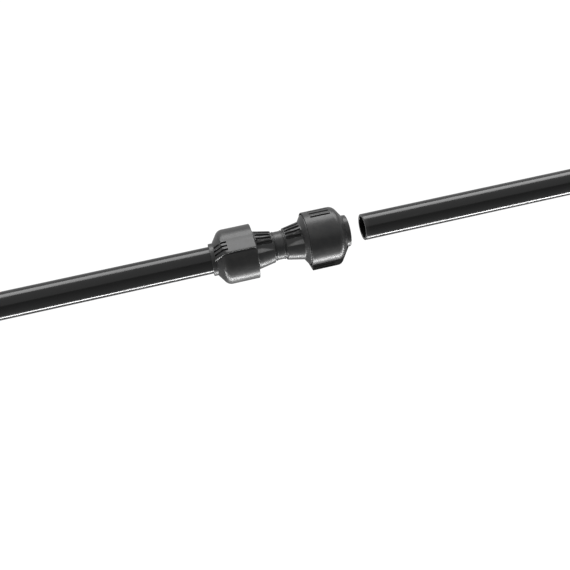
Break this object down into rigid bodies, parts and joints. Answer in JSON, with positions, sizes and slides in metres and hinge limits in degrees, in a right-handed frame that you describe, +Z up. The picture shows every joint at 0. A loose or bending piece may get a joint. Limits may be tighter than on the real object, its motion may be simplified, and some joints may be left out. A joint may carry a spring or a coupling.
{
  "type": "twist-lock tube coupling",
  "caption": "In-line twist-lock compression coupling with winged nuts, joining two round tubes: one is clamped, the other is about to be pushed in.",
  "frame": {"origin": "middle of the coupling's neck, on the tubes' common axis, which is halfway between the two free tube ends", "axes": "+X along the tubes from the clamped tube to the loose one, +Z up through the ribbed side of the sockets, -Y towards the side with the left nut's wing wall"},
  "size_m": [0.6, 0.0553, 0.0551],
  "materials": {
    "housing_plastic": "semi-gloss moulded anthracite plastic",
    "tube_plastic": "glossy black drawn tube",
    "grip_plastic": "natural acetal",
    "bearing_plastic": "grey acetal",
    "seal_rubber": "matt black rubber"
  },
  "bodies": {
    "coupling": {"coupling_body": "housing_plastic", "seal_ring_left": "seal_rubber", "seal_ring_right": "seal_rubber"},
    "clamp_left": {"press_bush_left": "bearing_plastic", "thrust_washer_left": "bearing_plastic", "grip_ring_left": "grip_plastic"},
    "clamp_right": {"press_bush_right": "bearing_plastic", "thrust_washer_right": "bearing_plastic", "grip_ring_right": "grip_plastic"},
    "nut_left": {"nut_left": "housing_plastic"},
    "nut_right": {"nut_right": "housing_plastic"},
    "tube_left": {"tube_left": "tube_plastic"},
    "tube_right": {"tube_right": "tube_plastic"}
  },
  "joints": [
    {"name": "clamp_left_advance", "type": "slide", "parent": "coupling", "child": "clamp_left", "axis": [-1, 0, 0], "range_m": [0, 0.0028]},
    {"name": "nut_left_twist", "type": "hinge", "parent": "clamp_left", "child": "nut_left", "pos_m": [-0.0435, 0, 0], "axis": [-1, 0, 0], "range_deg": [0, 140]},
    {"name": "tube_left_pull", "type": "slide", "parent": "coupling", "child": "tube_left", "axis": [-1, 0, 0], "range_m": [0, 0.0614]},
    {"name": "clamp_right_advance", "type": "slide", "parent": "coupling", "child": "clamp_right", "axis": [1, 0, 0], "range_m": [-0.0028, 0]},
    {"name": "nut_right_twist", "type": "hinge", "parent": "clamp_right", "child": "nut_right", "pos_m": [0.0463, 0, 0], "axis": [1, 0, 0], "range_deg": [-140, 0]},
    {"name": "tube_right_insert", "type": "slide", "parent": "coupling", "child": "tube_right", "axis": [-1, 0, 0], "range_m": [-0.03, 0.0614]}
  ],
  "couplings": [
    {"joint": "clamp_left_advance", "follows": "nut_left_twist", "m_per_rad": 0.0011459},
    {"joint": "clamp_right_advance", "follows": "nut_right_twist", "m_per_rad": 0.0011459}
  ]
}
